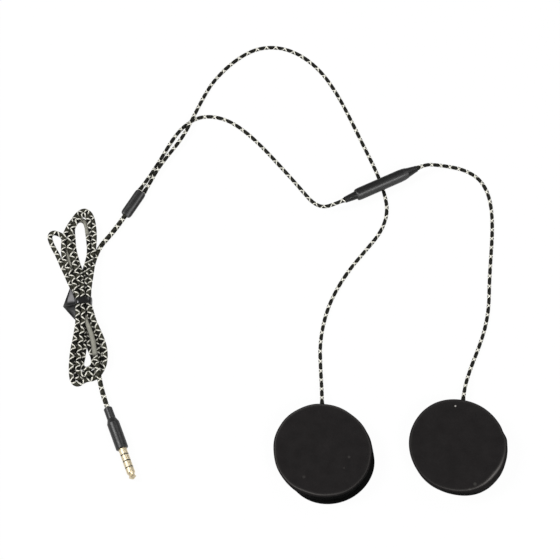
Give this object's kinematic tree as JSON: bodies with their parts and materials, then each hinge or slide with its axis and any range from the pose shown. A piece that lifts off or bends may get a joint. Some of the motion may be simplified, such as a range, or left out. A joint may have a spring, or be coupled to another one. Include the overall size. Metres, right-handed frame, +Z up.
{
  "type": "motorcycle helmet speaker",
  "caption": "Thin round helmet speakers on braided cords with a splitter, an in-line microphone bar, a tied hank and a gilt four-pole plug.",
  "frame": {"origin": "on the floor under the middle of the box round the speakers, which lie on their backs", "axes": "+Z up out of the speakers' faces, +X from the left speaker to the right one, +Y towards the side that the cords leave by"},
  "size_m": [0.1941, 0.2109, 0.0089],
  "materials": {
    "hook_tape": "hook tape",
    "black_abs": "moulded, matt",
    "rubber_black": "soft, matt",
    "cover_fabric": "brushed knit on foam",
    "foam_black": "foam",
    "steel_zinc": "zinc plated",
    "magnet_nickel": "nickel plated",
    "copper_wire": "enamelled copper",
    "film_clear": "formed polyester film",
    "board_green": "glass-fibre board",
    "capsule_steel": "aluminium can",
    "moulded_black": "satin moulded",
    "plug_black": "semi-gloss moulded",
    "gilt_brass": "gold flash on brass",
    "insulator_black": "moulded",
    "braid": "black braid with a cream tracer",
    "tie_black": "glossy"
  },
  "bodies": {
    "root": {"left_hook_pad": "hook_tape", "left_back_shell": "black_abs", "left_cord_grommet": "rubber_black", "left_yoke": "steel_zinc", "left_magnet": "magnet_nickel", "left_top_plate": "steel_zinc", "left_driver_frame": "black_abs", "left_terminal_board": "board_green", "left_voice_coil": "copper_wire", "left_diaphragm": "film_clear", "left_gasket": "foam_black", "left_grille": "black_abs", "left_front_cover": "cover_fabric", "right_hook_pad": "hook_tape", "right_back_shell": "black_abs", "right_cord_grommet": "rubber_black", "right_yoke": "steel_zinc", "right_magnet": "magnet_nickel", "right_top_plate": "steel_zinc", "right_driver_frame": "black_abs", "right_terminal_board": "board_green", "right_voice_coil": "copper_wire", "right_diaphragm": "film_clear", "right_gasket": "foam_black", "right_grille": "black_abs", "right_front_cover": "cover_fabric", "cord_splitter": "moulded_black", "mic_upper_shell": "moulded_black", "mic_lower_shell": "moulded_black", "mic_circuit_board": "board_green", "mic_capsule": "capsule_steel", "mic_left_neck": "rubber_black", "mic_right_neck": "rubber_black", "plug_barrel": "plug_black", "plug_sleeve_contact": "gilt_brass", "plug_rear_ring": "gilt_brass", "plug_front_ring": "gilt_brass", "plug_insulator": "insulator_black", "plug_tip_contact": "gilt_brass", "cord_tie": "tie_black", "left_cord": "braid", "module_cord": "braid", "right_cord": "braid", "main_cord_upper": "braid", "main_cord_lower": "braid", "main_cord_hank": "braid"}
  },
  "joints": []
}
